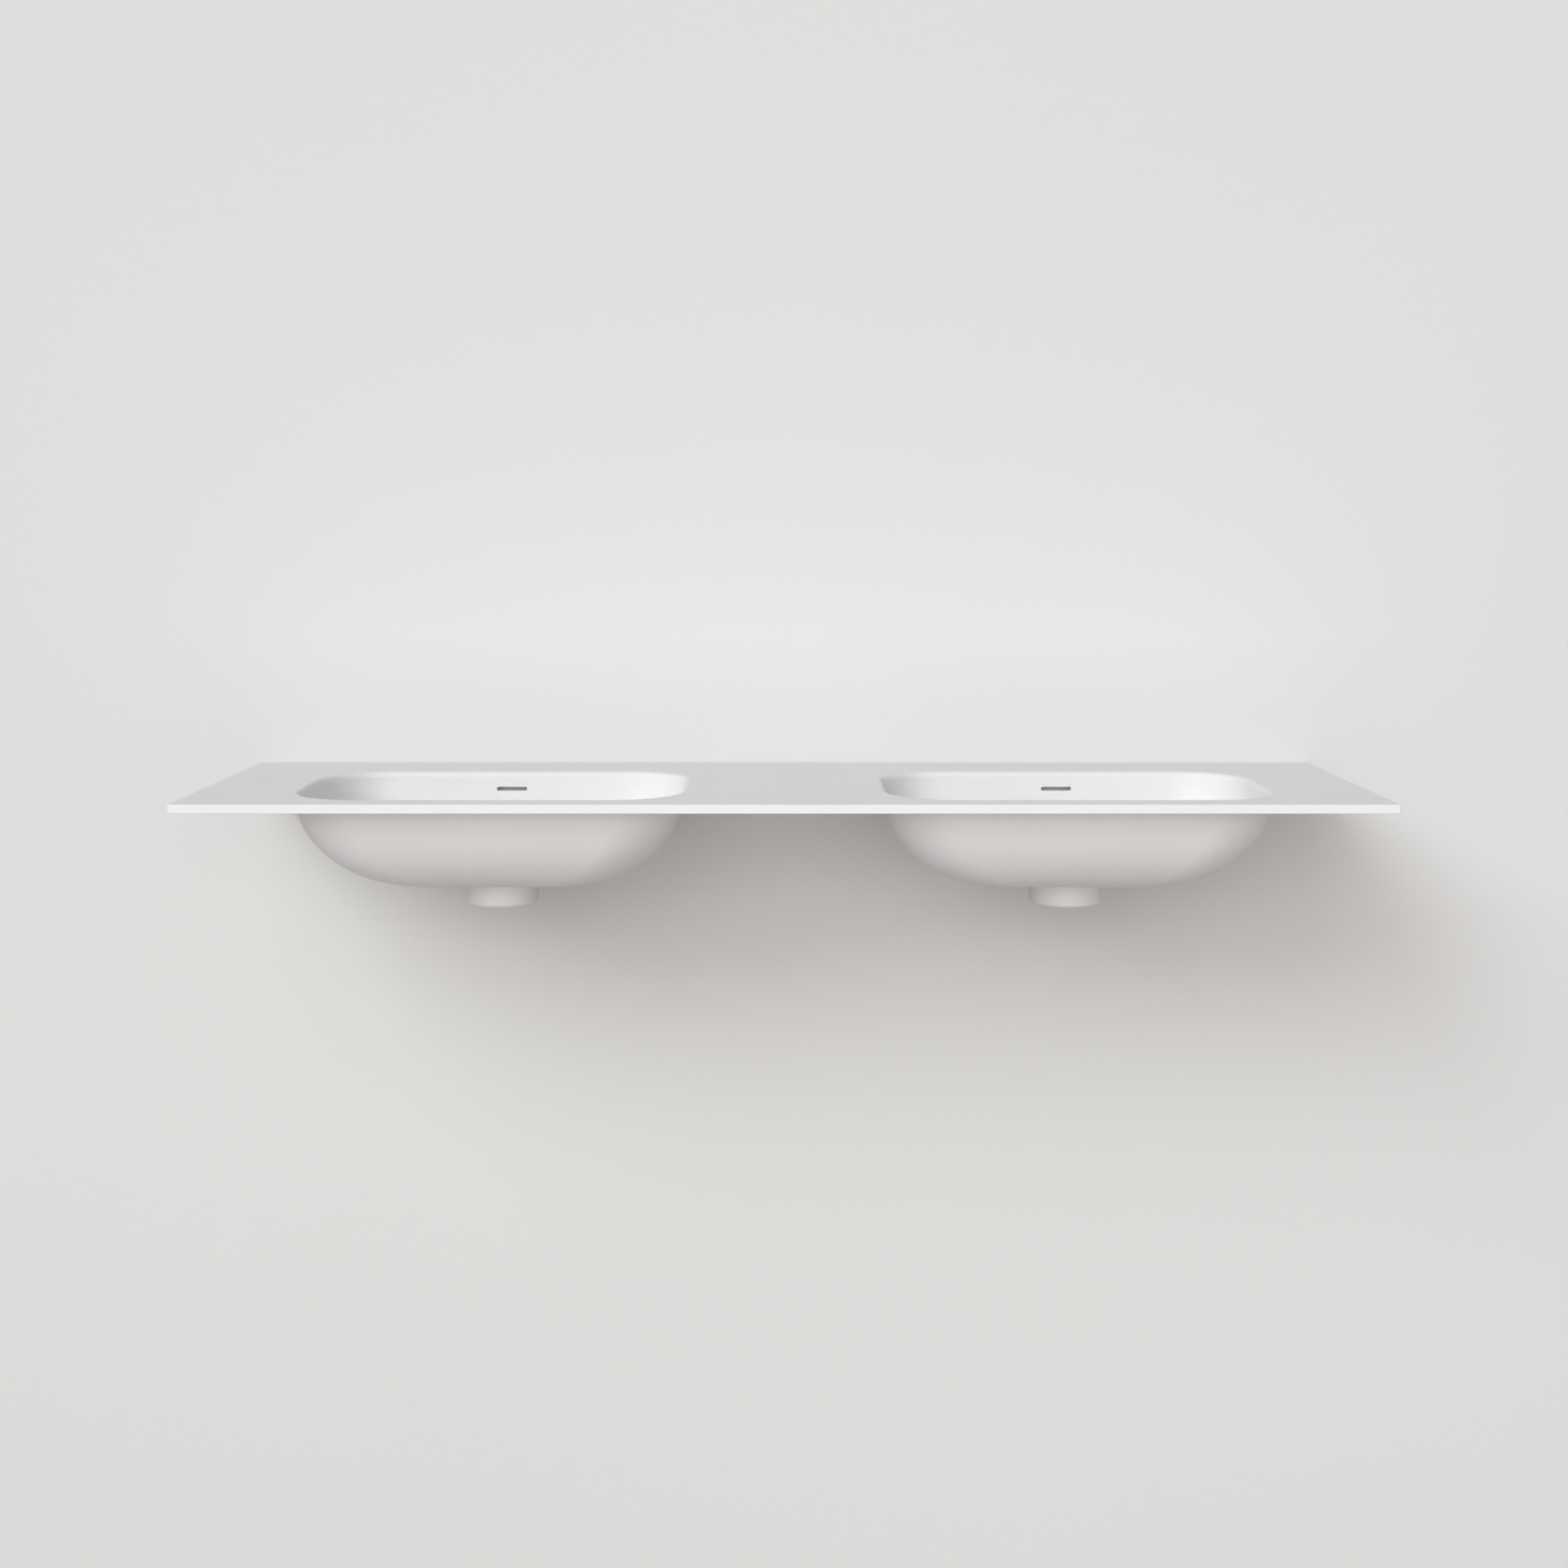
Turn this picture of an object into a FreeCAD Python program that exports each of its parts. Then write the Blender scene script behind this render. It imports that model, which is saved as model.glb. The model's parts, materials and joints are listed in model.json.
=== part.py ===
import FreeCAD, Part
import math
import os
import Sketcher
from FreeCAD import Vector

os.makedirs("parts", exist_ok=True)
doc = FreeCAD.newDocument("vanity_sink_top")

# Driving sizes in millimetres; names that end in share are plain ratios
SIZES = {
    # Countertop sheet and the basin openings in it
    "basin_pitch": 800,
    "opening_length": 534,
    "opening_depth": 309,
    "opening_corner_radius": 97,
    "end_margin": 133,
    "front_margin": 43,
    "back_margin": 108,
    "slab_thickness": 12,
    "slab_corner_radius": 2,
    "slab_edge_radius": 1,
    "rim_land": 4,
    # Bowls under the sheet
    "bowl_wall": 5,
    "bowl_depth": 110,
    "floor_thickness": 10,
    "floor_length": 252,
    "floor_depth": 150,
    "floor_round_share": 0.8,
    "floor_margin": 1,
    "profile_power_share": 1.11,
    "bond_flange_width": 12,
    "bond_flange_thickness": 4,
    # Overflow slot in the back wall of a bowl
    "slot_length": 44,
    "slot_height": 5.6,
    "slot_drop": 25,
    "slot_round_share": 0.75,
    # Drain hole in a bowl
    "drain_setback": 214,
    "dish_width": 14,
    "dish_depth": 2,
    "recess_depth": 2,
    # Drain boss under a bowl
    "boss_wall": 13,
    "boss_height": 40.5,
    "boss_edge_radius": 5.5,
    "boss_edge_limit_share": 0.9,
    "boss_roof": 3,
    "overflow_chamber_height": 13,
    "clamp_shelf": 6,
    "port_width": 30,
    "port_height": 9,
    "port_corner_radius": 3,
    # Overflow duct behind a bowl
    "duct_side_gap": 6,
    "duct_reach": 13,
    "duct_wall": 4,
    "duct_knee_drop": 90,
    "duct_foot_run": 36,
    "duct_foot_drop": 22,
    "duct_corner_radius": 5,
    # Waste body
    "tail_radius": 20.95,
    "tail_wall": 2.5,
    "tail_end_inset": 0.5,
    "spigot_step": 0.95,
    "tail_gap": 2.05,
    "seat_width": 6.5,
    "seat_floor": 1.3,
    "mouth_gap": 1,
    "waste_flange_land": 6,
    "waste_flange_thickness": 2.5,
    "waste_flange_edge_radius": 1.2,
    "recess_gap": 2,
    "flange_seal_thickness": 1.5,
    "window_width": 10,
    "window_height": 9,
    "window_corner_radius": 2,
    "crossbar_drop": 30,
    "crossbar_height": 5,
    "crossbar_arm_width": 5,
    "crossbar_hub_wall": 3.5,
    # Washer and nut that clamp the waste from inside the boss
    "clamp_washer_width": 9,
    "clamp_washer_thickness": 2,
    "clamp_nut_wall": 7.05,
    "clamp_nut_height": 7,
    "clamp_nut_gap": 5.7,
    # Pop-up plug
    "plug_travel": 9,
    "plug_seal_thickness": 2,
    "cap_overlap": 3,
    "cap_edge_height": 2,
    "cap_dome_rise": 3,
    "cap_hub_wall": 5,
    "cap_hub_length": 5,
    "stem_radius": 3,
    "stem_socket_depth": 4,
    "piston_lip": 1.3,
    "piston_height": 3,
    "piston_gap": 0.3,
    # Guide cartridge of the plug and its spring
    "cartridge_wall": 1.4,
    "cartridge_neck": 8,
    "cartridge_collar_width": 2.5,
    "cartridge_collar_height": 3,
    "cartridge_base": 2,
    "guide_length": 6,
    "guide_gap": 0.05,
    "stop_gap": 0.2,
    "spring_height": 4,
    "spring_wall": 0.8,
    # Wall brackets under the sheet
    "bracket_gap": 34,
    "bracket_width": 50,
    "bracket_thickness": 8,
    "bracket_arm": 300,
    "bracket_drop": 62,
    "bracket_bend_radius": 6,
    "bracket_corner_radius": 6,
    "wall_hole_radius": 4.5,
    "wall_hole_spacing": 28,
    "wall_hole_edge": 11,
    # Screws and threaded inserts that hold the brackets
    "screw_radius": 3,
    "screw_hole_gap": 0.4,
    "screw_head_lip": 2.5,
    "screw_head_height": 3.3,
    "screw_head_chamfer": 1,
    "screw_socket_radius": 2,
    "screw_socket_depth": 2,
    "screw_tip_gap": 1,
    "screw_setback": 50,
    "screw_end_margin": 30,
    "insert_wall": 1.5,
    "insert_cover": 4,
    # Helpers: how far cuts run past a face, and how closely an edge is matched
    "overrun": 5,
    "edge_match": 0.01,
}
# Counts of what repeats
WINDOWS = 4
CROSSBAR_ARMS = 3
NUT_SIDES = 6
SCREWS_PER_ARM = 3
BRACKETS = 3
# Turning of the bowl's wall from upright at the rim to level at the floor, as shares of a quarter turn
TURN_SHARES = (0, 0.04, 0.14, 0.28, 0.42, 0.55, 0.67, 0.78, 0.87, 0.94, 1)

sheet = doc.addObject("Spreadsheet::Sheet", "dims")
for row, (alias, size) in enumerate(SIZES.items(), 1):
    sheet.set(f"A{row}", alias)
    sheet.set(f"B{row}", str(size))
    sheet.setAlias(f"B{row}", alias)
doc.recompute()

# Sheet and openings; zero is the middle of the sheet's back edge, at the wall
SLAB_HALF_LENGTH = "(dims.basin_pitch / 2 + dims.opening_length / 2 + dims.end_margin)"
SLAB_DEPTH = "(dims.front_margin + dims.opening_depth + dims.back_margin)"
TOP = "(dims.slab_thickness / 2)"
UNDERSIDE = "(-dims.slab_thickness / 2)"
LEFT = "(-dims.basin_pitch / 2)"
RIGHT = "(dims.basin_pitch / 2)"
SIDES = (("left", LEFT), ("right", RIGHT))
RIM_RADIUS = "(dims.slab_thickness - dims.rim_land)"
MOUTH_HALF = f"(dims.opening_length / 2 - {RIM_RADIUS})"
MOUTH_FRONT = f"({RIM_RADIUS} - dims.opening_depth - dims.back_margin)"
MOUTH_BACK = f"(-dims.back_margin - {RIM_RADIUS})"
MOUTH_MIDDLE = f"(({MOUTH_FRONT} + {MOUTH_BACK}) / 2)"
MOUTH_HALF_DEPTH = f"(({MOUTH_BACK} - {MOUTH_FRONT}) / 2)"
MOUTH_RADIUS = f"(dims.opening_corner_radius - {RIM_RADIUS})"

# Radii about the drain's axis, from the waste's tail outwards
DRAIN_Y = "(-dims.drain_setback)"
TAIL_BORE = "(dims.tail_radius - dims.tail_wall)"
SPIGOT_RADIUS = "(dims.tail_radius - dims.spigot_step)"
DRAIN_HOLE = "(dims.tail_radius + dims.tail_gap)"
SEAL_RADIUS = f"({TAIL_BORE} + dims.seat_width)"
WASTE_MOUTH = f"({SEAL_RADIUS} + dims.mouth_gap)"
CAP_RADIUS = f"({WASTE_MOUTH} + dims.cap_overlap)"
WASTE_FLANGE = f"({WASTE_MOUTH} + dims.waste_flange_land)"
RECESS_RADIUS = f"({WASTE_FLANGE} + dims.recess_gap)"
DISH_RADIUS = f"({RECESS_RADIUS} + dims.dish_width)"
WASHER_RADIUS = "(dims.tail_radius + dims.clamp_washer_width)"
NUT_CORNER = f"((dims.tail_radius + dims.clamp_nut_wall) / cos(180 deg / {NUT_SIDES}))"
BOSS_BORE = f"({NUT_CORNER} + dims.clamp_nut_gap)"
BOSS_RADIUS = f"({BOSS_BORE} + dims.boss_wall)"
PISTON_RADIUS = "(dims.stem_radius + dims.piston_lip)"
SPRING_BORE = f"({PISTON_RADIUS} + dims.piston_gap)"
CARTRIDGE_RADIUS = f"({SPRING_BORE} + dims.cartridge_wall)"
COLLAR_RADIUS = f"({CARTRIDGE_RADIUS} + dims.cartridge_collar_width)"
CROSSBAR_HUB = f"({CARTRIDGE_RADIUS} + dims.crossbar_hub_wall)"
CAP_HUB = "(dims.stem_radius + dims.cap_hub_wall)"
GUIDE_BORE = "(dims.stem_radius + dims.guide_gap)"

# Bowl floor, and levels down through the bowl and the boss
FLOOR_BACK = f"({DRAIN_Y} + {DISH_RADIUS} + dims.floor_margin)"
FLOOR_FRONT = f"({FLOOR_BACK} - dims.floor_depth)"
FLOOR_CORNER = "(dims.floor_depth / 2 * dims.floor_round_share)"
FLOOR = f"({UNDERSIDE} - dims.bowl_depth)"
DISH_BOTTOM = f"({FLOOR} - dims.dish_depth)"
RECESS = f"({DISH_BOTTOM} - dims.recess_depth)"
BOWL_BOTTOM = f"({FLOOR} - dims.floor_thickness)"
CHAMBER_TOP = f"({BOWL_BOTTOM} - dims.boss_roof)"
CHAMBER_MIDDLE = f"({CHAMBER_TOP} - dims.overflow_chamber_height / 2)"
CHAMBER_BOTTOM = f"({CHAMBER_TOP} - dims.overflow_chamber_height)"
SHELF_BOTTOM = f"({CHAMBER_BOTTOM} - dims.clamp_shelf)"
WASHER_BOTTOM = f"({SHELF_BOTTOM} - dims.clamp_washer_thickness)"
NUT_BOTTOM = f"({WASHER_BOTTOM} - dims.clamp_nut_height)"
BOSS_BOTTOM = f"({BOWL_BOTTOM} - dims.boss_height)"
TAIL_END = f"({BOSS_BOTTOM} + dims.tail_end_inset)"

# Levels of the waste's flange, the plug and the cartridge
FLANGE_BOTTOM = f"({RECESS} + dims.flange_seal_thickness)"
FLANGE_TOP = f"({FLANGE_BOTTOM} + dims.waste_flange_thickness)"
SEAT = f"({FLANGE_BOTTOM} + dims.seat_floor)"
CAP_BOTTOM = f"({SEAT} + dims.plug_seal_thickness)"
CAP_EDGE = f"({CAP_BOTTOM} + dims.cap_edge_height)"
CAP_TOP = f"({CAP_EDGE} + dims.cap_dome_rise)"
HUB_END = f"({SEAT} - dims.cap_hub_length)"
STEM_TOP = f"({HUB_END} + dims.stem_socket_depth)"
CROSSBAR_TOP = f"({FLANGE_TOP} - dims.crossbar_drop)"
COLLAR_TOP = f"({CROSSBAR_TOP} + dims.cartridge_collar_height)"
CARTRIDGE_TOP = f"({CROSSBAR_TOP} + dims.cartridge_neck)"
SPRING_ROOF = f"({CARTRIDGE_TOP} - dims.guide_length)"
PISTON_TOP = f"({SPRING_ROOF} - dims.plug_travel - dims.stop_gap)"
PISTON_BOTTOM = f"({PISTON_TOP} - dims.piston_height)"
SPRING_FLOOR = f"({PISTON_BOTTOM} - dims.spring_height)"
CARTRIDGE_BOTTOM = f"({SPRING_FLOOR} - dims.cartridge_base)"

# Side view of the overflow duct
DUCT_BACK = f"({MOUTH_BACK} + dims.bowl_wall + dims.duct_reach)"
DUCT_TOP = f"({UNDERSIDE} - dims.bond_flange_thickness)"
DUCT_KNEE = f"({DUCT_TOP} - dims.duct_knee_drop)"
DUCT_FOOT_Y = f"({DRAIN_Y} + {BOSS_RADIUS} + dims.duct_foot_run)"
DUCT_FOOT = f"({BOWL_BOTTOM} - dims.duct_foot_drop)"
DUCT_INNER_WIDTH = "(dims.slot_length + 2 * dims.duct_side_gap)"

# Brackets, screws and inserts
FLANGE_OUT = "(dims.bowl_wall + dims.bond_flange_width)"
BOWL_END = f"(dims.basin_pitch / 2 + {MOUTH_HALF} + {FLANGE_OUT})"
BRACKET_X = f"({BOWL_END} + dims.bracket_gap + dims.bracket_width / 2)"
ARM_BOTTOM = f"({UNDERSIDE} - dims.bracket_thickness)"
DROP_END = f"({UNDERSIDE} - dims.bracket_drop)"
SCREW_SPAN = "(dims.bracket_arm - dims.screw_setback - dims.screw_end_margin)"
HEAD_RADIUS = "(dims.screw_radius + dims.screw_head_lip)"
HEAD_BOTTOM = f"({ARM_BOTTOM} - dims.screw_head_height)"
SOCKET_TOP = f"({HEAD_BOTTOM} + dims.screw_socket_depth)"
INSERT_RADIUS = "(dims.screw_radius + dims.insert_wall)"
INSERT_LENGTH = "(dims.slab_thickness - dims.insert_cover)"
INSERT_TOP = f"({UNDERSIDE} + {INSERT_LENGTH})"
SCREW_TOP = f"({INSERT_TOP} - dims.screw_tip_gap)"

pieces = []


def value(expression):
    """Number that a sheet expression stands for."""
    return float(sheet.evalExpression(expression))


def new_body(name):
    return doc.addObject("PartDesign::Body", name)


def origin_feature(body, role):
    return next(item for item in body.Origin.OriginFeatures if item.Role == role)


def new_sketch(body, name, plane, x="0", y="0", lift="0"):
    """Sketch on an origin plane of the body, shifted in that plane and lifted off it."""
    sketch = body.newObject("Sketcher::SketchObject", name)
    sketch.AttachmentSupport = [(origin_feature(body, plane), "")]
    sketch.MapMode = "FlatFace"
    for axis, shift in (("x", x), ("y", y), ("z", lift)):
        if shift != "0":
            sketch.setExpression(f"AttachmentOffset.Base.{axis}", shift)
    sketch.Visibility = False
    return sketch


def dimension(sketch, kind, expression, *ends):
    """Add one dimension to a sketch and bind it to the sheet."""
    index = sketch.addConstraint(Sketcher.Constraint(kind, *ends, value(expression)))
    sketch.setExpression(f"Constraints[{index}]", expression)


def add_outline(sketch, corners, dome=None):
    """Closed outline through corners given as pairs of expressions, with one edge an arc about the axis."""
    points = [Vector(value(x), value(y), 0) for x, y in corners]
    edges = []
    for index, start in enumerate(points):
        end = points[(index + 1) % len(points)]
        if index == dome:
            centre = Vector(0, (start.Length ** 2 - end.Length ** 2) / (2 * (start.y - end.y)), 0)
            circle = Part.Circle(centre, Vector(0, 0, 1), start.distanceToPoint(centre))
            arc = Part.ArcOfCircle(circle, circle.parameter(start), circle.parameter(end))
            edges.append(sketch.addGeometry(arc))
            sketch.addConstraint(Sketcher.Constraint("PointOnObject", edges[-1], 3, -2))
        else:
            edges.append(sketch.addGeometry(Part.LineSegment(start, end)))
    for index, edge in enumerate(edges):
        following = edges[(index + 1) % len(edges)]
        sketch.addConstraint(Sketcher.Constraint("Coincident", edge, 2, following, 1))
        dimension(sketch, "DistanceX", corners[index][0], -1, 1, edge, 1)
        dimension(sketch, "DistanceY", corners[index][1], -1, 1, edge, 1)


def add_rounded_rectangle(sketch, half_x, half_y, radius):
    """Rounded rectangle about the sketch's origin."""
    length, depth, corner = value(half_x), value(half_y), value(radius)
    inner_x, inner_y = length - corner, depth - corner
    lines = (
        (Vector(-inner_x, -depth, 0), Vector(inner_x, -depth, 0)),
        (Vector(length, -inner_y, 0), Vector(length, inner_y, 0)),
        (Vector(inner_x, depth, 0), Vector(-inner_x, depth, 0)),
        (Vector(-length, inner_y, 0), Vector(-length, -inner_y, 0)),
    )
    centres = ((inner_x, -inner_y), (inner_x, inner_y), (-inner_x, inner_y), (-inner_x, -inner_y))
    sides, arcs = [], []
    for index, ((start, end), (x, y)) in enumerate(zip(lines, centres)):
        sides.append(sketch.addGeometry(Part.LineSegment(start, end)))
        circle = Part.Circle(Vector(x, y, 0), Vector(0, 0, 1), corner)
        arc = Part.ArcOfCircle(circle, (index - 1) * math.pi / 2, index * math.pi / 2)
        arcs.append(sketch.addGeometry(arc))
    for index, side in enumerate(sides):
        following = sides[(index + 1) % len(sides)]
        sketch.addConstraint(Sketcher.Constraint("Tangent", side, 2, arcs[index], 1))
        sketch.addConstraint(Sketcher.Constraint("Tangent", arcs[index], 2, following, 1))
        sketch.addConstraint(Sketcher.Constraint(("Horizontal", "Vertical")[index % 2], side))
    for arc in arcs[1:]:
        sketch.addConstraint(Sketcher.Constraint("Equal", arcs[0], arc))
    dimension(sketch, "Radius", radius, arcs[0])
    dimension(sketch, "DistanceX", half_x, -1, 1, sides[1], 1)
    dimension(sketch, "DistanceX", half_x, sides[3], 1, -1, 1)
    dimension(sketch, "DistanceY", half_y, -1, 1, sides[2], 1)
    dimension(sketch, "DistanceY", half_y, sides[0], 1, -1, 1)


def add_circle(sketch, radius, x="0", y="0"):
    circle = Part.Circle(Vector(value(x), value(y), 0), Vector(0, 0, 1), value(radius))
    edge = sketch.addGeometry(circle)
    dimension(sketch, "Radius", radius, edge)
    dimension(sketch, "DistanceX", x, -1, 1, edge, 3)
    dimension(sketch, "DistanceY", y, -1, 1, edge, 3)


def add_extrusion(body, kind, name, sketch, length, reverse=False, both_ways=False):
    """Pad or pocket of a sketch, one way or the other, or half each way."""
    feature = body.newObject(f"PartDesign::{kind}", name)
    feature.Profile = sketch
    feature.setExpression("Length", length)
    feature.Reversed = reverse
    if both_ways:
        feature.SideType = "Symmetric"
    doc.recompute()
    return feature


def add_fillet(body, name, radius, wanted):
    """Fillet of the body's edges that pass a test."""
    base = body.Tip
    edges = [f"Edge{i}" for i, edge in enumerate(base.Shape.Edges, 1) if wanted(edge)]
    feature = body.newObject("PartDesign::Fillet", name)
    feature.Base = (base, edges)
    feature.setExpression("Radius", radius)
    doc.recompute()


def add_pattern(body, kind, name, feature, **settings):
    """Pattern of one feature of a body; settings given as text are bound to the sheet."""
    pattern = body.newObject(f"PartDesign::{kind}", name)
    pattern.Originals = [feature]
    for setting, content in settings.items():
        if isinstance(content, str):
            pattern.setExpression(setting, content)
        else:
            setattr(pattern, setting, content)
    body.Tip = pattern
    doc.recompute()


def add_screw_grid(body, name, feature):
    """Repeat a feature at every bracket screw."""
    add_pattern(
        body,
        "LinearPattern",
        name,
        feature,
        Direction=(origin_feature(body, "X_Axis"), [""]),
        Length=f"2 * {BRACKET_X}",
        Occurrences=BRACKETS,
        Direction2=(origin_feature(body, "Y_Axis"), [""]),
        Length2=SCREW_SPAN,
        Occurrences2=SCREWS_PER_ARM,
        Reversed2=True,
    )


def add_revolution(body, name, corners, dome=None, setback="0"):
    """Solid turned about an upright axis from corners given as radius and level."""
    sketch = new_sketch(body, f"{name}_profile", "XZ_Plane", lift=setback)
    add_outline(sketch, corners, dome)
    feature = body.newObject("PartDesign::Revolution", name)
    feature.Profile = sketch
    feature.ReferenceAxis = (sketch, ["V_Axis"])
    doc.recompute()
    return feature


def place(item, x="0", y="0"):
    """Move a finished piece to its place and keep it for writing."""
    for axis, shift in (("x", x), ("y", y)):
        if shift != "0":
            item.setExpression(f"Placement.Base.{axis}", shift)
    pieces.append(item)
    doc.recompute()


def add_turned_piece(label, x, corners, dome=None):
    """Piece turned about the drain's axis of one basin."""
    body = new_body(label)
    add_revolution(body, f"{label}_turned", corners, dome)
    place(body, x, DRAIN_Y)


def add_cut_piece(label, base, tool, x):
    """Piece left when a tool is taken from a base, set on one basin."""
    cut = doc.addObject("Part::Cut", label)
    cut.Base = base
    cut.Tool = tool
    place(cut, x)


def ring(inner, outer, bottom, top):
    """Corners of a rectangle, as for the section of a plain ring."""
    return [(inner, bottom), (outer, bottom), (outer, top), (inner, top)]


def near(number, expression):
    return abs(number - value(expression)) < value("dims.edge_match")


def flat_at(edge, level):
    """True for an edge that lies at one level."""
    return all(near(vertex.Z, level) for vertex in edge.Vertexes)


def is_round(edge, radius):
    """True for a circular edge of a radius."""
    return isinstance(edge.Curve, Part.Circle) and near(edge.Curve.Radius, radius)


def over_a_basin(edge):
    """True for an edge that lies over one of the basin openings."""
    centre = edge.CenterOfMass
    inside_x = abs(abs(centre.x) - value(RIGHT)) < value("dims.opening_length / 2")
    return inside_x and value(f"dims.front_margin - {SLAB_DEPTH}") < centre.y < value("-dims.back_margin")


# Countertop sheet with two cutouts, rolled rims and blind holes for the inserts
slab = new_body("countertop_slab")
sketch = new_sketch(slab, "slab_outline", "XY_Plane", y=f"-{SLAB_DEPTH} / 2", lift=UNDERSIDE)
add_rounded_rectangle(sketch, SLAB_HALF_LENGTH, f"{SLAB_DEPTH} / 2", "dims.slab_corner_radius")
add_extrusion(slab, "Pad", "slab_sheet", sketch, "dims.slab_thickness")
add_fillet(slab, "slab_edges", "dims.slab_edge_radius", lambda e: flat_at(e, TOP) or flat_at(e, UNDERSIDE))
sketch = new_sketch(slab, "cutout_outline", "XY_Plane", LEFT, MOUTH_MIDDLE, TOP)
add_rounded_rectangle(sketch, MOUTH_HALF, MOUTH_HALF_DEPTH, MOUTH_RADIUS)
cutout = add_extrusion(slab, "Pocket", "left_cutout", sketch, "dims.slab_thickness")
add_pattern(slab, "Mirrored", "right_cutout", cutout, MirrorPlane=(origin_feature(slab, "YZ_Plane"), [""]))
add_fillet(slab, "rolled_rims", RIM_RADIUS, lambda e: flat_at(e, TOP) and over_a_basin(e))
first_screw = (f"-{BRACKET_X}", "-dims.screw_setback")
sketch = new_sketch(slab, "insert_hole_outline", "XY_Plane", *first_screw, UNDERSIDE)
add_circle(sketch, INSERT_RADIUS)
hole = add_extrusion(slab, "Pocket", "insert_hole", sketch, INSERT_LENGTH, reverse=True)
add_screw_grid(slab, "insert_holes", hole)
place(slab)


def add_bowl_loft(body, wall, drop):
    """Loft through rounded rectangles, from the sheet's underside down to the bowl's floor."""
    sections = []
    for index, turn_share in enumerate(TURN_SHARES):
        out = f"cos(90 deg * {turn_share})^dims.profile_power_share"
        down = f"sin(90 deg * {turn_share})^dims.profile_power_share"
        half_length = f"dims.floor_length / 2 + {out} * ({MOUTH_HALF} - dims.floor_length / 2) + {wall}"
        front = f"({FLOOR_FRONT} + {out} * ({MOUTH_FRONT} - {FLOOR_FRONT}) - {wall})"
        back = f"({FLOOR_BACK} + {out} * ({MOUTH_BACK} - {FLOOR_BACK}) + {wall})"
        radius = f"{FLOOR_CORNER} + {out} * ({MOUTH_RADIUS} - {FLOOR_CORNER}) + {wall}"
        name = f"{body.Name}_section_{index}"
        middle = f"({front} + {back}) / 2"
        section = new_sketch(body, name, "XY_Plane", y=middle, lift=f"{UNDERSIDE} - {down} * {drop}")
        add_rounded_rectangle(section, half_length, f"({back} - {front}) / 2", radius)
        sections.append(section)
    loft = body.newObject("PartDesign::AdditiveLoft", f"{body.Name}_loft")
    loft.Profile = sections[0]
    loft.Sections = [(section, [""]) for section in sections[1:]]
    doc.recompute()


# Outside of a bowl, with the flange that is bonded to the sheet
bowl_outer = new_body("bowl_outer_form")
add_bowl_loft(bowl_outer, "dims.bowl_wall", "(dims.bowl_depth + dims.floor_thickness)")
sketch = new_sketch(bowl_outer, "bond_flange_outline", "XY_Plane", y=MOUTH_MIDDLE, lift=UNDERSIDE)
add_rounded_rectangle(
    sketch,
    f"{MOUTH_HALF} + {FLANGE_OUT}",
    f"{MOUTH_HALF_DEPTH} + {FLANGE_OUT}",
    f"{MOUTH_RADIUS} + {FLANGE_OUT}",
)
add_extrusion(bowl_outer, "Pad", "bond_flange", sketch, "dims.bond_flange_thickness", reverse=True)

# Hollow of a bowl, with the dished drain hole and the overflow slot
bowl_inner = new_body("bowl_inner_form")
add_bowl_loft(bowl_inner, "0", "dims.bowl_depth")
add_revolution(
    bowl_inner,
    "drain_hole",
    [
        ("0", f"{FLOOR} + dims.overrun"),
        (DISH_RADIUS, f"{FLOOR} + dims.overrun"),
        (DISH_RADIUS, FLOOR),
        (RECESS_RADIUS, DISH_BOTTOM),
        (RECESS_RADIUS, RECESS),
        (DRAIN_HOLE, RECESS),
        (DRAIN_HOLE, f"{BOWL_BOTTOM} - dims.overrun"),
        ("0", f"{BOWL_BOTTOM} - dims.overrun"),
    ],
    setback="dims.drain_setback",
)
slot_start = f"({MOUTH_BACK} - dims.bowl_wall - dims.overrun)"
slot_level = f"{TOP} - dims.slot_drop"
slot_half_height = "dims.slot_height / 2"
sketch = new_sketch(bowl_inner, "slot_outline", "XZ_Plane", y=slot_level, lift=f"-{slot_start}")
add_rounded_rectangle(
    sketch, "dims.slot_length / 2", slot_half_height, f"{slot_half_height} * dims.slot_round_share"
)
slot_run = "2 * (dims.bowl_wall + dims.overrun)"
add_extrusion(bowl_inner, "Pad", "overflow_slot", sketch, slot_run, reverse=True)

for side, x in SIDES:
    add_cut_piece(f"{side}_basin_bowl", bowl_outer, bowl_inner, x)

# Drain bosses, each with an overflow chamber above the clamp shelf and a skirt below it
for side, x in SIDES:
    boss = new_body(f"{side}_drain_boss")
    add_revolution(
        boss,
        f"{side}_boss_turned",
        [
            (DRAIN_HOLE, CHAMBER_TOP),
            (BOSS_BORE, CHAMBER_TOP),
            (BOSS_BORE, CHAMBER_BOTTOM),
            (DRAIN_HOLE, CHAMBER_BOTTOM),
            (DRAIN_HOLE, SHELF_BOTTOM),
            (BOSS_BORE, SHELF_BOTTOM),
            (BOSS_BORE, BOSS_BOTTOM),
            (BOSS_RADIUS, BOSS_BOTTOM),
            (BOSS_RADIUS, BOWL_BOTTOM),
            (DRAIN_HOLE, BOWL_BOTTOM),
        ],
    )
    add_fillet(
        boss,
        f"{side}_boss_edge",
        "min(dims.boss_edge_radius; dims.boss_wall * dims.boss_edge_limit_share)",
        lambda e: flat_at(e, BOSS_BOTTOM) and is_round(e, BOSS_RADIUS),
    )
    sketch = new_sketch(boss, f"{side}_port_outline", "XZ_Plane", y=CHAMBER_MIDDLE)
    add_rounded_rectangle(sketch, "dims.port_width / 2", "dims.port_height / 2", "dims.port_corner_radius")
    add_extrusion(boss, "Pocket", f"{side}_port", sketch, f"{BOSS_RADIUS} + dims.overrun")
    place(boss, x, DRAIN_Y)


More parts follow.
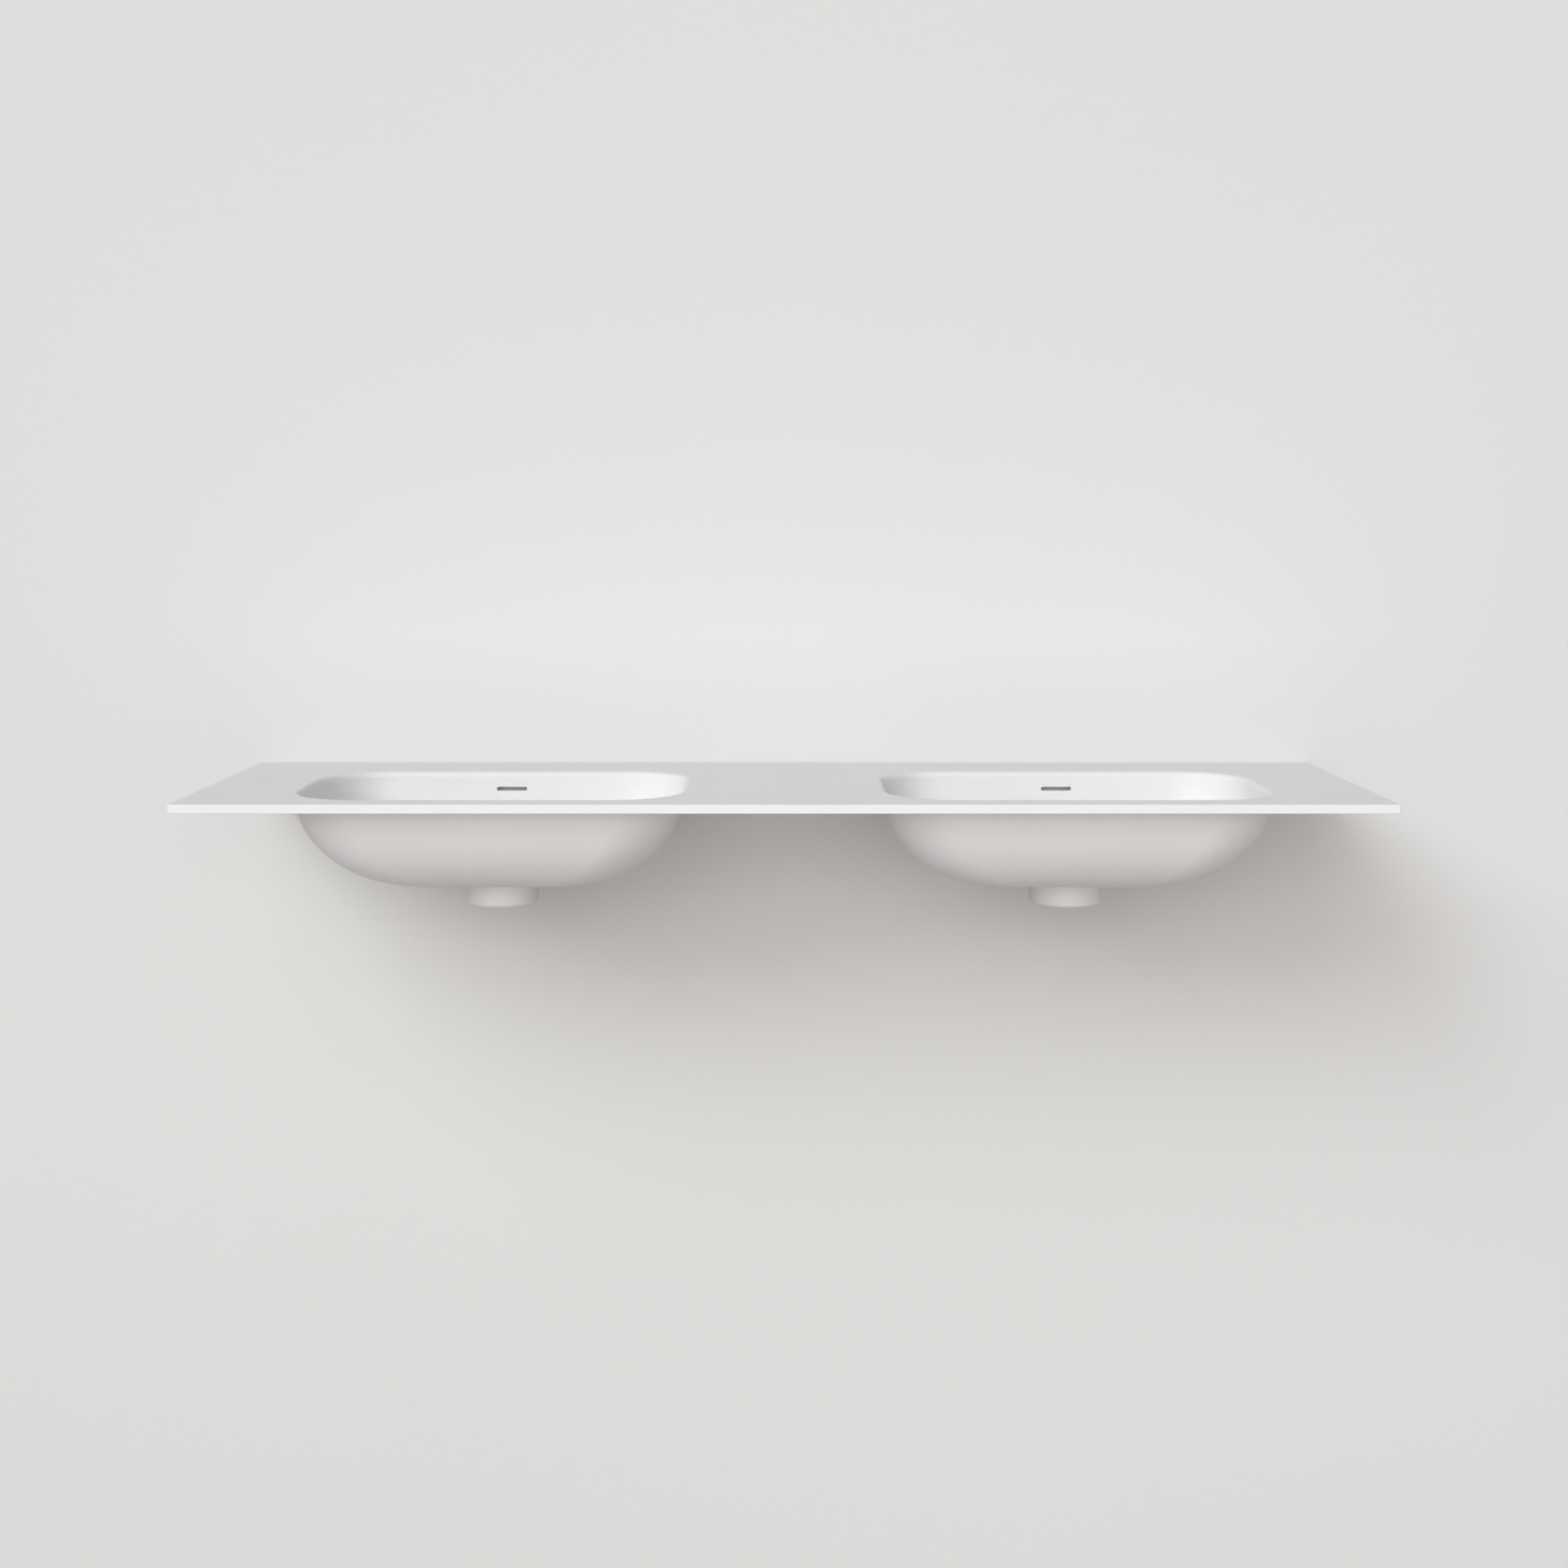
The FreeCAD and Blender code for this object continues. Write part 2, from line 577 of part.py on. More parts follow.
def duct_form(name, inset, width):
    """Side view of the duct, drawn in by an inset and extruded along X."""
    body = new_body(name)
    outline = new_sketch(body, f"{name}_outline", "YZ_Plane")
    corners = [
        (DRAIN_Y, f"{DUCT_FOOT} + {inset}"),
        (f"{DUCT_FOOT_Y} - {inset}", f"{DUCT_FOOT} + {inset}"),
        (f"{DUCT_BACK} - {inset}", DUCT_KNEE),
        (f"{DUCT_BACK} - {inset}", f"{DUCT_TOP} - {inset}"),
        (DRAIN_Y, f"{DUCT_TOP} - {inset}"),
    ]
    add_outline(outline, corners)
    add_extrusion(body, "Pad", f"{name}_pad", outline, width, both_ways=True)
    return body


def on_duct_back(edge):
    """True for an edge along the duct's sloped foot or its back."""
    return all(vertex.Y > value(f"{DUCT_FOOT_Y} - dims.edge_match") for vertex in edge.Vertexes)


# Overflow ducts: a cover on the back of each bowl, open to the bowl's slot and to the boss's port
duct_block = duct_form("duct_block", "0", f"{DUCT_INNER_WIDTH} + 2 * dims.duct_wall")
add_fillet(duct_block, "duct_corners", "dims.duct_corner_radius", on_duct_back)
duct_channel = duct_form("duct_channel", "dims.duct_wall", DUCT_INNER_WIDTH)
boss_blank = doc.addObject("Part::Cylinder", "boss_blank")
boss_blank.setExpression("Radius", BOSS_RADIUS)
boss_blank.setExpression("Height", "dims.boss_height")
boss_blank.setExpression("Placement.Base.y", DRAIN_Y)
boss_blank.setExpression("Placement.Base.z", BOSS_BOTTOM)
duct_tool = doc.addObject("Part::MultiFuse", "duct_tool")
duct_tool.Shapes = [bowl_outer, duct_channel, boss_blank]
for side, x in SIDES:
    add_cut_piece(f"{side}_overflow_duct", duct_block, duct_tool, x)

for side, x in SIDES:
    # Waste body: flanged tube with overflow windows, a crossbar for the cartridge and a spigot for a trap
    waste = new_body(f"{side}_waste_body")
    add_revolution(
        waste,
        f"{side}_waste_turned",
        [
            (TAIL_BORE, TAIL_END),
            (SPIGOT_RADIUS, TAIL_END),
            (SPIGOT_RADIUS, NUT_BOTTOM),
            ("dims.tail_radius", NUT_BOTTOM),
            ("dims.tail_radius", FLANGE_BOTTOM),
            (WASTE_FLANGE, FLANGE_BOTTOM),
            (WASTE_FLANGE, FLANGE_TOP),
            (WASTE_MOUTH, FLANGE_TOP),
            (WASTE_MOUTH, SEAT),
            (TAIL_BORE, SEAT),
        ],
    )
    add_fillet(
        waste,
        f"{side}_flange_edge",
        "dims.waste_flange_edge_radius",
        lambda e: flat_at(e, FLANGE_TOP) and is_round(e, WASTE_FLANGE),
    )
    about_axis = (origin_feature(waste, "Z_Axis"), [""])
    sketch = new_sketch(waste, f"{side}_window_outline", "XZ_Plane", y=CHAMBER_MIDDLE)
    window_half_width = "dims.window_width / 2"
    add_rounded_rectangle(sketch, window_half_width, "dims.window_height / 2", "dims.window_corner_radius")
    window = add_extrusion(waste, "Pocket", f"{side}_window", sketch, "dims.tail_radius + dims.overrun")
    add_pattern(waste, "PolarPattern", f"{side}_windows", window, Axis=about_axis, Occurrences=WINDOWS)
    sketch = new_sketch(waste, f"{side}_arm_outline", "XY_Plane", lift=CROSSBAR_TOP)
    arm_start = f"({CARTRIDGE_RADIUS} + {CROSSBAR_HUB}) / 2"
    arm_end = "dims.tail_radius - dims.tail_wall / 2"
    half_arm = "dims.crossbar_arm_width / 2"
    add_outline(sketch, ring(arm_start, arm_end, f"-{half_arm}", half_arm))
    arm = add_extrusion(waste, "Pad", f"{side}_arm", sketch, "dims.crossbar_height", reverse=True)
    add_pattern(waste, "PolarPattern", f"{side}_arms", arm, Axis=about_axis, Occurrences=CROSSBAR_ARMS)
    sketch = new_sketch(waste, f"{side}_hub_outline", "XY_Plane", lift=CROSSBAR_TOP)
    add_circle(sketch, CROSSBAR_HUB)
    add_circle(sketch, CARTRIDGE_RADIUS)
    add_extrusion(waste, "Pad", f"{side}_crossbar_hub", sketch, "dims.crossbar_height", reverse=True)
    place(waste, x, DRAIN_Y)

    # Rubber seal under the flange, and the washer and nut that clamp it from below
    add_turned_piece(f"{side}_flange_seal", x, ring("dims.tail_radius", WASTE_FLANGE, RECESS, FLANGE_BOTTOM))
    add_turned_piece(
        f"{side}_clamp_washer", x, ring("dims.tail_radius", WASHER_RADIUS, WASHER_BOTTOM, SHELF_BOTTOM)
    )
    nut = new_body(f"{side}_clamp_nut")
    sketch = new_sketch(nut, f"{side}_nut_outline", "XY_Plane", lift=NUT_BOTTOM)
    turns = [f"360 deg * {i} / {NUT_SIDES}" for i in range(NUT_SIDES)]
    add_outline(sketch, [(f"{NUT_CORNER} * cos({turn})", f"{NUT_CORNER} * sin({turn})") for turn in turns])
    add_circle(sketch, "dims.tail_radius")
    add_extrusion(nut, "Pad", f"{side}_nut_pad", sketch, "dims.clamp_nut_height")
    place(nut, x, DRAIN_Y)

    # Guide cartridge in the crossbar, with the spring under the stem's piston
    add_turned_piece(
        f"{side}_plug_cartridge",
        x,
        [
            ("0", CARTRIDGE_BOTTOM),
            (CARTRIDGE_RADIUS, CARTRIDGE_BOTTOM),
            (CARTRIDGE_RADIUS, CROSSBAR_TOP),
            (COLLAR_RADIUS, CROSSBAR_TOP),
            (COLLAR_RADIUS, COLLAR_TOP),
            (CARTRIDGE_RADIUS, COLLAR_TOP),
            (CARTRIDGE_RADIUS, CARTRIDGE_TOP),
            (GUIDE_BORE, CARTRIDGE_TOP),
            (GUIDE_BORE, SPRING_ROOF),
            (SPRING_BORE, SPRING_ROOF),
            (SPRING_BORE, SPRING_FLOOR),
            ("0", SPRING_FLOOR),
        ],
    )
    spring_inside = f"{PISTON_RADIUS} - dims.spring_wall"
    spring_ring = ring(spring_inside, PISTON_RADIUS, SPRING_FLOOR, PISTON_BOTTOM)
    add_turned_piece(f"{side}_plug_spring", x, spring_ring)

    # Pop-up plug: domed cap, its rubber seal and the sliding stem
    cap_corners = [
        ("0", STEM_TOP),
        ("dims.stem_radius", STEM_TOP),
        ("dims.stem_radius", HUB_END),
        (CAP_HUB, HUB_END),
        (CAP_HUB, CAP_BOTTOM),
        (CAP_RADIUS, CAP_BOTTOM),
        (CAP_RADIUS, CAP_EDGE),
        ("0", CAP_TOP),
    ]
    add_turned_piece(f"{side}_plug_cap", x, cap_corners, dome=cap_corners.index((CAP_RADIUS, CAP_EDGE)))
    add_turned_piece(f"{side}_plug_seal", x, ring(CAP_HUB, SEAL_RADIUS, SEAT, CAP_BOTTOM))
    add_turned_piece(
        f"{side}_plug_stem",
        x,
        [
            ("0", PISTON_BOTTOM),
            (PISTON_RADIUS, PISTON_BOTTOM),
            (PISTON_RADIUS, PISTON_TOP),
            ("dims.stem_radius", PISTON_TOP),
            ("dims.stem_radius", STEM_TOP),
            ("0", STEM_TOP),
        ],
    )


def is_short_edge(edge):
    """True for an edge that runs through the thickness of a bracket's steel."""
    return near(edge.Length, "dims.bracket_thickness")


# Flat steel wall brackets, bent to an angle, with wall holes and screw holes
for side, x in (("left", f"-{BRACKET_X}"), ("centre", "0"), ("right", BRACKET_X)):
    bracket = new_body(f"{side}_wall_bracket")
    sketch = new_sketch(bracket, f"{side}_angle_outline", "YZ_Plane")
    add_outline(
        sketch,
        [
            ("0", UNDERSIDE),
            ("-dims.bracket_arm", UNDERSIDE),
            ("-dims.bracket_arm", ARM_BOTTOM),
            ("-dims.bracket_thickness", ARM_BOTTOM),
            ("-dims.bracket_thickness", DROP_END),
            ("0", DROP_END),
        ],
    )
    add_extrusion(bracket, "Pad", f"{side}_angle", sketch, "dims.bracket_width", both_ways=True)
    add_fillet(
        bracket,
        f"{side}_inner_bend",
        "dims.bracket_bend_radius",
        lambda e: flat_at(e, ARM_BOTTOM) and near(e.CenterOfMass.y, "-dims.bracket_thickness"),
    )
    add_fillet(
        bracket,
        f"{side}_outer_bend",
        "dims.bracket_bend_radius + dims.bracket_thickness",
        lambda e: flat_at(e, UNDERSIDE) and near(e.CenterOfMass.y, "0"),
    )
    add_fillet(
        bracket,
        f"{side}_corners",
        "dims.bracket_corner_radius",
        lambda e: is_short_edge(e) and (flat_at(e, DROP_END) or near(e.CenterOfMass.y, "-dims.bracket_arm")),
    )
    sketch = new_sketch(bracket, f"{side}_wall_hole_outline", "XZ_Plane")
    low_hole = f"{DROP_END} + dims.wall_hole_edge"
    add_circle(sketch, "dims.wall_hole_radius", "0", low_hole)
    add_circle(sketch, "dims.wall_hole_radius", "0", f"{low_hole} + dims.wall_hole_spacing")
    add_extrusion(bracket, "Pocket", f"{side}_wall_holes", sketch, "dims.bracket_thickness", reverse=True)
    sketch = new_sketch(bracket, f"{side}_screw_hole_outline", "XY_Plane", lift=UNDERSIDE)
    for i in range(SCREWS_PER_ARM):
        hole_y = f"-dims.screw_setback - {SCREW_SPAN} * {i} / {SCREWS_PER_ARM - 1}"
        add_circle(sketch, "dims.screw_radius + dims.screw_hole_gap", "0", hole_y)
    add_extrusion(bracket, "Pocket", f"{side}_screw_holes", sketch, "dims.bracket_thickness")
    place(bracket, x)

# Screws up through the bracket arms, and the threaded inserts that they grip in the sheet
screw_corners = [
    ("0", SOCKET_TOP),
    ("dims.screw_socket_radius", SOCKET_TOP),
    ("dims.screw_socket_radius", HEAD_BOTTOM),
    (f"{HEAD_RADIUS} - dims.screw_head_chamfer", HEAD_BOTTOM),
    (HEAD_RADIUS, f"{HEAD_BOTTOM} + dims.screw_head_chamfer"),
    (HEAD_RADIUS, ARM_BOTTOM),
    ("dims.screw_radius", ARM_BOTTOM),
    ("dims.screw_radius", SCREW_TOP),
    ("0", SCREW_TOP),
]
insert_corners = ring("dims.screw_radius", INSERT_RADIUS, UNDERSIDE, INSERT_TOP)
for label, corners in (("bracket_screws", screw_corners), ("threaded_inserts", insert_corners)):
    body = new_body(label)
    body.AllowCompound = True
    first = add_revolution(body, f"{label}_first", corners)
    add_screw_grid(body, f"{label}_grid", first)
    place(body, *first_screw)

# Check every object, then write one file per piece
doc.recompute()
for item in doc.Objects:
    if "Invalid" in item.State or "Error" in item.State:
        raise RuntimeError(f"{item.Label} did not compute: {item.State}")
for piece in pieces:
    shape = piece.Shape
    if shape.isNull() or not shape.isValid():
        raise RuntimeError(f"{piece.Label} has no valid shape")
    shape.exportStep(f"parts/{piece.Label}.step")
    print(piece.Label, len(shape.Solids), "solids", round(shape.Volume), "mm3")
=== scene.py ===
# %% [markdown]
# # Dressing a vanity top with two basins
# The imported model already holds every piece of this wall-hung washbasin top at its real size and place.
# This lesson gives those pieces their finishes, adds the small parts that a solid model leaves plain, and
# sets up the plain studio and the camera. Everything is in metres, in the model's own frame.

# %% Load the model
import json
import math

import bmesh
import bpy
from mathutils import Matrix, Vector


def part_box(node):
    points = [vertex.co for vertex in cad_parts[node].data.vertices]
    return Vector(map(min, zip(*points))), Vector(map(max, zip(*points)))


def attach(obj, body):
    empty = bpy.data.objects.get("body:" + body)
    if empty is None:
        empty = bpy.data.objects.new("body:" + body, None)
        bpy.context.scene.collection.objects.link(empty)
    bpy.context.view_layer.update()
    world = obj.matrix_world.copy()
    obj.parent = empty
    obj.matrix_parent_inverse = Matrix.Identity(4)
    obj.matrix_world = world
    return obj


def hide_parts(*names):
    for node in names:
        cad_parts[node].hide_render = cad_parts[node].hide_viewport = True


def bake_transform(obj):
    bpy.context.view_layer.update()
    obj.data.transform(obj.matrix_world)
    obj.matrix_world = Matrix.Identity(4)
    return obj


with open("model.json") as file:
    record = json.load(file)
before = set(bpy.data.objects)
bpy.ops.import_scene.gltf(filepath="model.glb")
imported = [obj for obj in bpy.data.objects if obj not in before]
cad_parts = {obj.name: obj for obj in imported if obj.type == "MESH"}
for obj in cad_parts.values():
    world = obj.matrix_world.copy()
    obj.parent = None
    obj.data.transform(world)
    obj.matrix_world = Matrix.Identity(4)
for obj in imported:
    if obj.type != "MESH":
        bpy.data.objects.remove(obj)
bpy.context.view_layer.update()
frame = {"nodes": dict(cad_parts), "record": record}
nodes = frame["nodes"]

# %% [markdown]
# ## Helpers for node trees
# A finish, or a Geometry Nodes tree, is a set of nodes and links. Adding each one by hand takes many lines,
# so one short helper adds a node with its options and fills its inputs: a socket becomes a link, and
# anything else is written on the input itself. The other helpers add a Math node, make a group with named
# sockets, and put an object in the scene.

# %% Node helpers


def add_node(tree, kind, values=None, **options):
    """Add a node, set its options, then fill or link its inputs."""
    node = tree.nodes.new(kind)
    for name, option in options.items():
        setattr(node, name, option)
    for socket, value in (values or {}).items():
        if isinstance(value, bpy.types.NodeSocket):
            tree.links.new(value, node.inputs[socket])
        else:
            node.inputs[socket].default_value = value
    return node


def add_math(tree, operation, first, second=0.0):
    """A Math node, as the socket of its result."""
    return add_node(tree, "ShaderNodeMath", {0: first, 1: second}, operation=operation).outputs[0]


def new_group(name, kind, inputs, outputs):
    """Node group with named sockets, as the tree, its input node and its output node."""
    tree = bpy.data.node_groups.new(name, kind)
    for in_out, sockets in (("INPUT", inputs), ("OUTPUT", outputs)):
        for label, socket_type in sockets.items():
            tree.interface.new_socket(label, in_out=in_out, socket_type=socket_type)
    return tree, tree.nodes.new("NodeGroupInput"), tree.nodes.new("NodeGroupOutput")


def add_object(name, data):
    """Object at the origin that holds a mesh, a lamp or a camera, linked to the scene."""
    holder = bpy.data.objects.new(name, data)
    bpy.context.scene.collection.objects.link(holder)
    return holder


COLOUR = "NodeSocketColor"
NUMBER = "NodeSocketFloat"
print("helpers ready")

# %% [markdown]
# ## Two tones of grain
# No real surface is one flat colour. The white mineral sheet has a fine speckle and very faint clouds,
# rubber has a dusty bloom and metal is slightly discoloured. All of them are two close tones mixed by fine
# and by broad noise, so one shader group serves every finish, each with its own tones and sizes. The noise
# reads Object coordinates, and every piece sits at the origin, so the grain runs without a break from the
# sheet into the bowls that are bonded to it.

# %% Group for two tones of grain
MIX_FACTOR, MIX_A, MIX_B, MIX_RESULT = 0, 6, 7, 2
TONE_LOW, TONE_HIGH = 0.7, 1.3


def make_grain_group():
    tree, given, result = new_group(
        "two_tone_grain",
        "ShaderNodeTree",
        {"Light Tone": COLOUR, "Dark Tone": COLOUR, "Grain Scale": NUMBER, "Cloud Scale": NUMBER},
        {"Colour": COLOUR, "Grain": NUMBER},
    )
    place = add_node(tree, "ShaderNodeTexCoord").outputs["Object"]
    fine = add_node(tree, "ShaderNodeTexNoise", {"Vector": place, "Scale": given.outputs["Grain Scale"]})
    broad = add_node(tree, "ShaderNodeTexNoise", {"Vector": place, "Scale": given.outputs["Cloud Scale"]})
    both = add_math(tree, "ADD", fine.outputs["Fac"], broad.outputs["Fac"])
    limits = {"From Min": TONE_LOW, "From Max": TONE_HIGH}
    share = add_node(tree, "ShaderNodeMapRange", {"Value": both, **limits})
    mixed = add_node(tree, "ShaderNodeMix", data_type="RGBA")
    tree.links.new(share.outputs["Result"], mixed.inputs[MIX_FACTOR])
    tree.links.new(given.outputs["Light Tone"], mixed.inputs[MIX_A])
    tree.links.new(given.outputs["Dark Tone"], mixed.inputs[MIX_B])
    tree.links.new(mixed.outputs[MIX_RESULT], result.inputs["Colour"])
    tree.links.new(fine.outputs["Fac"], result.inputs["Grain"])
    return tree


def add_tones(tree, light, dark, grain, cloud):
    """The grain group with its two tones, and with the sizes of its grain and clouds in metres."""
    values = {
        "Light Tone": (*light, 1.0),
        "Dark Tone": (*dark, 1.0),
        "Grain Scale": 1 / grain,
        "Cloud Scale": 1 / cloud,
    }
    return add_node(tree, "ShaderNodeGroup", values, node_tree=grain_group)


grain_group = make_grain_group()
print("made group", grain_group.name)

# %% [markdown]
# ## Marks from handling
# Fingers, cloths and water leave some patches duller than others, which shows in the highlights more than
# in the colour. This second group turns broad noise into a roughness between two limits.

# %% Group for handling marks
MARK_DETAIL = 4.0
MARK_DISTORTION = 0.6
MARK_LOW, MARK_HIGH = 0.3, 0.7


def make_marks_group():
    tree, given, result = new_group(
        "handling_marks",
        "ShaderNodeTree",
        {"Mark Scale": NUMBER, "Least Roughness": NUMBER, "Most Roughness": NUMBER},
        {"Roughness": NUMBER},
    )
    place = add_node(tree, "ShaderNodeTexCoord").outputs["Object"]
    noise = add_node(
        tree,
        "ShaderNodeTexNoise",
        {
            "Vector": place,
            "Scale": given.outputs["Mark Scale"],
            "Detail": MARK_DETAIL,
            "Distortion": MARK_DISTORTION,
        },
    )
    ranged = add_node(
        tree,
        "ShaderNodeMapRange",
        {
            "Value": noise.outputs["Fac"],
            "From Min": MARK_LOW,
            "From Max": MARK_HIGH,
            "To Min": given.outputs["Least Roughness"],
            "To Max": given.outputs["Most Roughness"],
        },
    )
    tree.links.new(ranged.outputs["Result"], result.inputs["Roughness"])
    return tree


marks_group = make_marks_group()
print("made group", marks_group.name)

# %% [markdown]
# ## One recipe for every finish
# A finish is a Principled shader with the two groups feeding its colour and roughness, and a very shallow
# bump made from the same grain. The recipe takes the tones, the sizes of the grain and the marks, and the
# limits of the roughness. Sizes are given in metres and turned into noise scales.

# %% Recipe for a finish
finishes = {}


def make_finish(slot, light, dark, grain, cloud, mark, roughness, relief, metal=0.0):
    """Material for one slot of the record."""
    material = bpy.data.materials.new(slot)
    material.use_nodes = True
    tree = material.node_tree
    shader = tree.nodes["Principled BSDF"]
    tones = add_tones(tree, light, dark, grain, cloud)
    least, most = roughness
    marks = add_node(
        tree,
        "ShaderNodeGroup",
        {"Mark Scale": 1 / mark, "Least Roughness": least, "Most Roughness": most},
        node_tree=marks_group,
    )
    bump = add_node(tree, "ShaderNodeBump", {"Distance": relief, "Height": tones.outputs["Grain"]})
    tree.links.new(tones.outputs["Colour"], shader.inputs["Base Color"])
    tree.links.new(marks.outputs["Roughness"], shader.inputs["Roughness"])
    tree.links.new(bump.outputs["Normal"], shader.inputs["Normal"])
    shader.inputs["Metallic"].default_value = metal
    finishes[slot] = material
    return shader


print("recipe ready")

# %% [markdown]
# ## The white mineral sheet
# The sheet and bowls are mineral-filled resin, sanded to a silky matte. Its white is not paper white, and
# the sanding scatters highlights widely. The tones differ by about two in a hundred, which is enough to
# keep a large plain surface from looking like plastic film.

# %% Matte white
SANDED_SHEEN = 0.4
mineral = make_finish(
    "solid_surface",
    light=(0.89, 0.89, 0.885),
    dark=(0.87, 0.87, 0.865),
    grain=0.0012,
    cloud=0.22,
    mark=0.15,
    roughness=(0.44, 0.54),
    relief=0.000015,
)
mineral.inputs["Specular IOR Level"].default_value = SANDED_SHEEN
print("made matte white")

# %% [markdown]
# ## Metal, rubber and plastic of the small parts
# The plug caps and waste flanges are chromed, the clamp nuts and inserts are plain brass, and the stems,
# springs and screws are bright steel. Seals are black rubber, and the guide in each waste is pale plastic.
# The brackets are powder coated, which leaves a fine orange peel.

# %% Finishes of the small parts
make_finish(
    "chrome",
    light=(0.83, 0.84, 0.85),
    dark=(0.78, 0.79, 0.80),
    grain=0.004,
    cloud=0.03,
    mark=0.025,
    roughness=(0.06, 0.14),
    relief=0.0000005,
    metal=1.0,
)
make_finish(
    "brass",
    light=(0.80, 0.64, 0.34),
    dark=(0.66, 0.49, 0.22),
    grain=0.0008,
    cloud=0.02,
    mark=0.012,
    roughness=(0.26, 0.42),
    relief=0.000004,
    metal=1.0,
)
make_finish(
    "steel",
    light=(0.66, 0.66, 0.67),
    dark=(0.54, 0.54, 0.55),
    grain=0.0006,
    cloud=0.01,
    mark=0.008,
    roughness=(0.24, 0.4),
    relief=0.000003,
    metal=1.0,
)
make_finish(
    "seal_rubber",
    light=(0.075, 0.075, 0.08),
    dark=(0.04, 0.04, 0.043),
    grain=0.0006,
    cloud=0.02,
    mark=0.015,
    roughness=(0.6, 0.78),
    relief=0.00001,
)
make_finish(
    "guide_plastic",
    light=(0.77, 0.78, 0.80),
    dark=(0.70, 0.71, 0.73),
    grain=0.0005,
    cloud=0.012,
    mark=0.01,
    roughness=(0.36, 0.46),
    relief=0.000006,
)
make_finish(
    "bracket_paint",
    light=(0.84, 0.84, 0.83),
    dark=(0.80, 0.80, 0.785),
    grain=0.0016,
    cloud=0.06,
    mark=0.05,
    roughness=(0.3, 0.44),
    relief=0.00004,
)
print("made finishes", sorted(finishes))

# %% [markdown]
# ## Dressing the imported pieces
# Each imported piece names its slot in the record, so the finishes go on by name. Only the material slot of a
# piece is filled: its mesh and its place stay as they were packed.

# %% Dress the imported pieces
for row in frame["record"]["subparts"]:
    nodes[row["node"]].material_slots[0].material = finishes[row["material_slot"]]

# %% [markdown]
# ## Turned shapes
# Screws and nuts are turned or forged about an axis, with a hexagon where a tool grips them. They could be
# cut with booleans, but a stack of rings gives clean quads: every ring has the same number of points, a
# round one has one radius, and a hexagonal one follows its flats. A limit on the radius cuts the corners of
# a hexagon, which is how a nut gets its curved chamfer.

# %% Stack of rings
RING_POINTS = 96
HEX_SIDES = 6
SHARP_ANGLE = math.radians(32)


def ring(radius, level, flats=False, limit=math.inf):
    """Points of one ring; with flats, the radius is that of the hexagon's flats."""
    points = []
    sector = 2 * math.pi / HEX_SIDES
    for index in range(RING_POINTS):
        angle = 2 * math.pi * index / RING_POINTS
        reach = radius
        if flats:
            reach = radius / math.cos(angle % sector - sector / 2)
        reach = min(reach, limit)
        points.append(Vector((reach * math.cos(angle), reach * math.sin(angle), level)))
    return points


def stack_rings(name, rings, middle=(0, 0, 0), closed=False):
    """Mesh through a stack of rings, with its ends filled, or joined to each other if it is closed."""
    form = bmesh.new()
    rows = [[form.verts.new(point + Vector(middle)) for point in points] for points in rings]
    pairs = list(zip(rows, rows[1:]))
    if closed:
        pairs.append((rows[-1], rows[0]))
    for lower, upper in pairs:
        for index in range(RING_POINTS):
            following = (index + 1) % RING_POINTS
            form.faces.new((lower[index], lower[following], upper[following], upper[index]))
    if not closed:
        form.faces.new(rows[0])
        form.faces.new(rows[-1])
    bmesh.ops.recalc_face_normals(form, faces=form.faces)
    mesh = bpy.data.meshes.new(name)
    form.to_mesh(mesh)
    form.free()
    mesh.shade_smooth()
    mesh.set_sharp_from_angle(angle=SHARP_ANGLE)
    return mesh


print("rings have", RING_POINTS, "points")

# %% [markdown]
# ## Bracket screws
# Nine equal screws hold the three brackets, in rows of three. One screw is modelled with a rounded head and
# a hexagon socket, as a stack of rings from its tip down to the floor of its socket. Its levels are read
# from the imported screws.

# %% One screw
SCREW_SHANK = 0.003
SCREW_TIP_CHAMFER = 0.0006
SCREW_HEAD = 0.0055
SCREW_HEAD_HEIGHT = 0.0033
SCREW_HEAD_ROUND = 0.0014
SCREW_SOCKET = 0.002
SCREW_SOCKET_DEPTH = 0.002
SOCKET_CHAMFER = 0.0002
ROUND_STEPS = 6

screws_low, screws_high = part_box("bracket_screws")
head_face = screws_low.z
head_seat = head_face + SCREW_HEAD_HEIGHT
screw_rings = [
    ring(SCREW_SHANK - SCREW_TIP_CHAMFER, screws_high.z),
    ring(SCREW_SHANK, screws_high.z - SCREW_TIP_CHAMFER),
    ring(SCREW_SHANK, head_seat),
    ring(SCREW_HEAD, head_seat),
]
for step in range(ROUND_STEPS + 1):
    turn = math.pi / 2 * step / ROUND_STEPS
    radius = SCREW_HEAD - SCREW_HEAD_ROUND * (1 - math.cos(turn))
    screw_rings.append(ring(radius, head_face + SCREW_HEAD_ROUND * (1 - math.sin(turn))))
screw_rings += [
    ring(SCREW_SOCKET + SOCKET_CHAMFER, head_face, flats=True),
    ring(SCREW_SOCKET, head_face + SOCKET_CHAMFER, flats=True),
    ring(SCREW_SOCKET, head_face + SCREW_SOCKET_DEPTH, flats=True),
]
screw_mesh = stack_rings("socket_screw", screw_rings)
print("one screw has", len(screw_mesh.polygons), "faces")

# %% [markdown]
# ## Rows of screws
# Nine copies made by hand would be nine places to keep in step. A Geometry Nodes tree sets the one screw on
# the points of a grid instead. Its inputs are the numbers and spans of the rows, which follow from the
# packed screws, so the new ones sit in the same holes.

# %% Tree for rows of screws


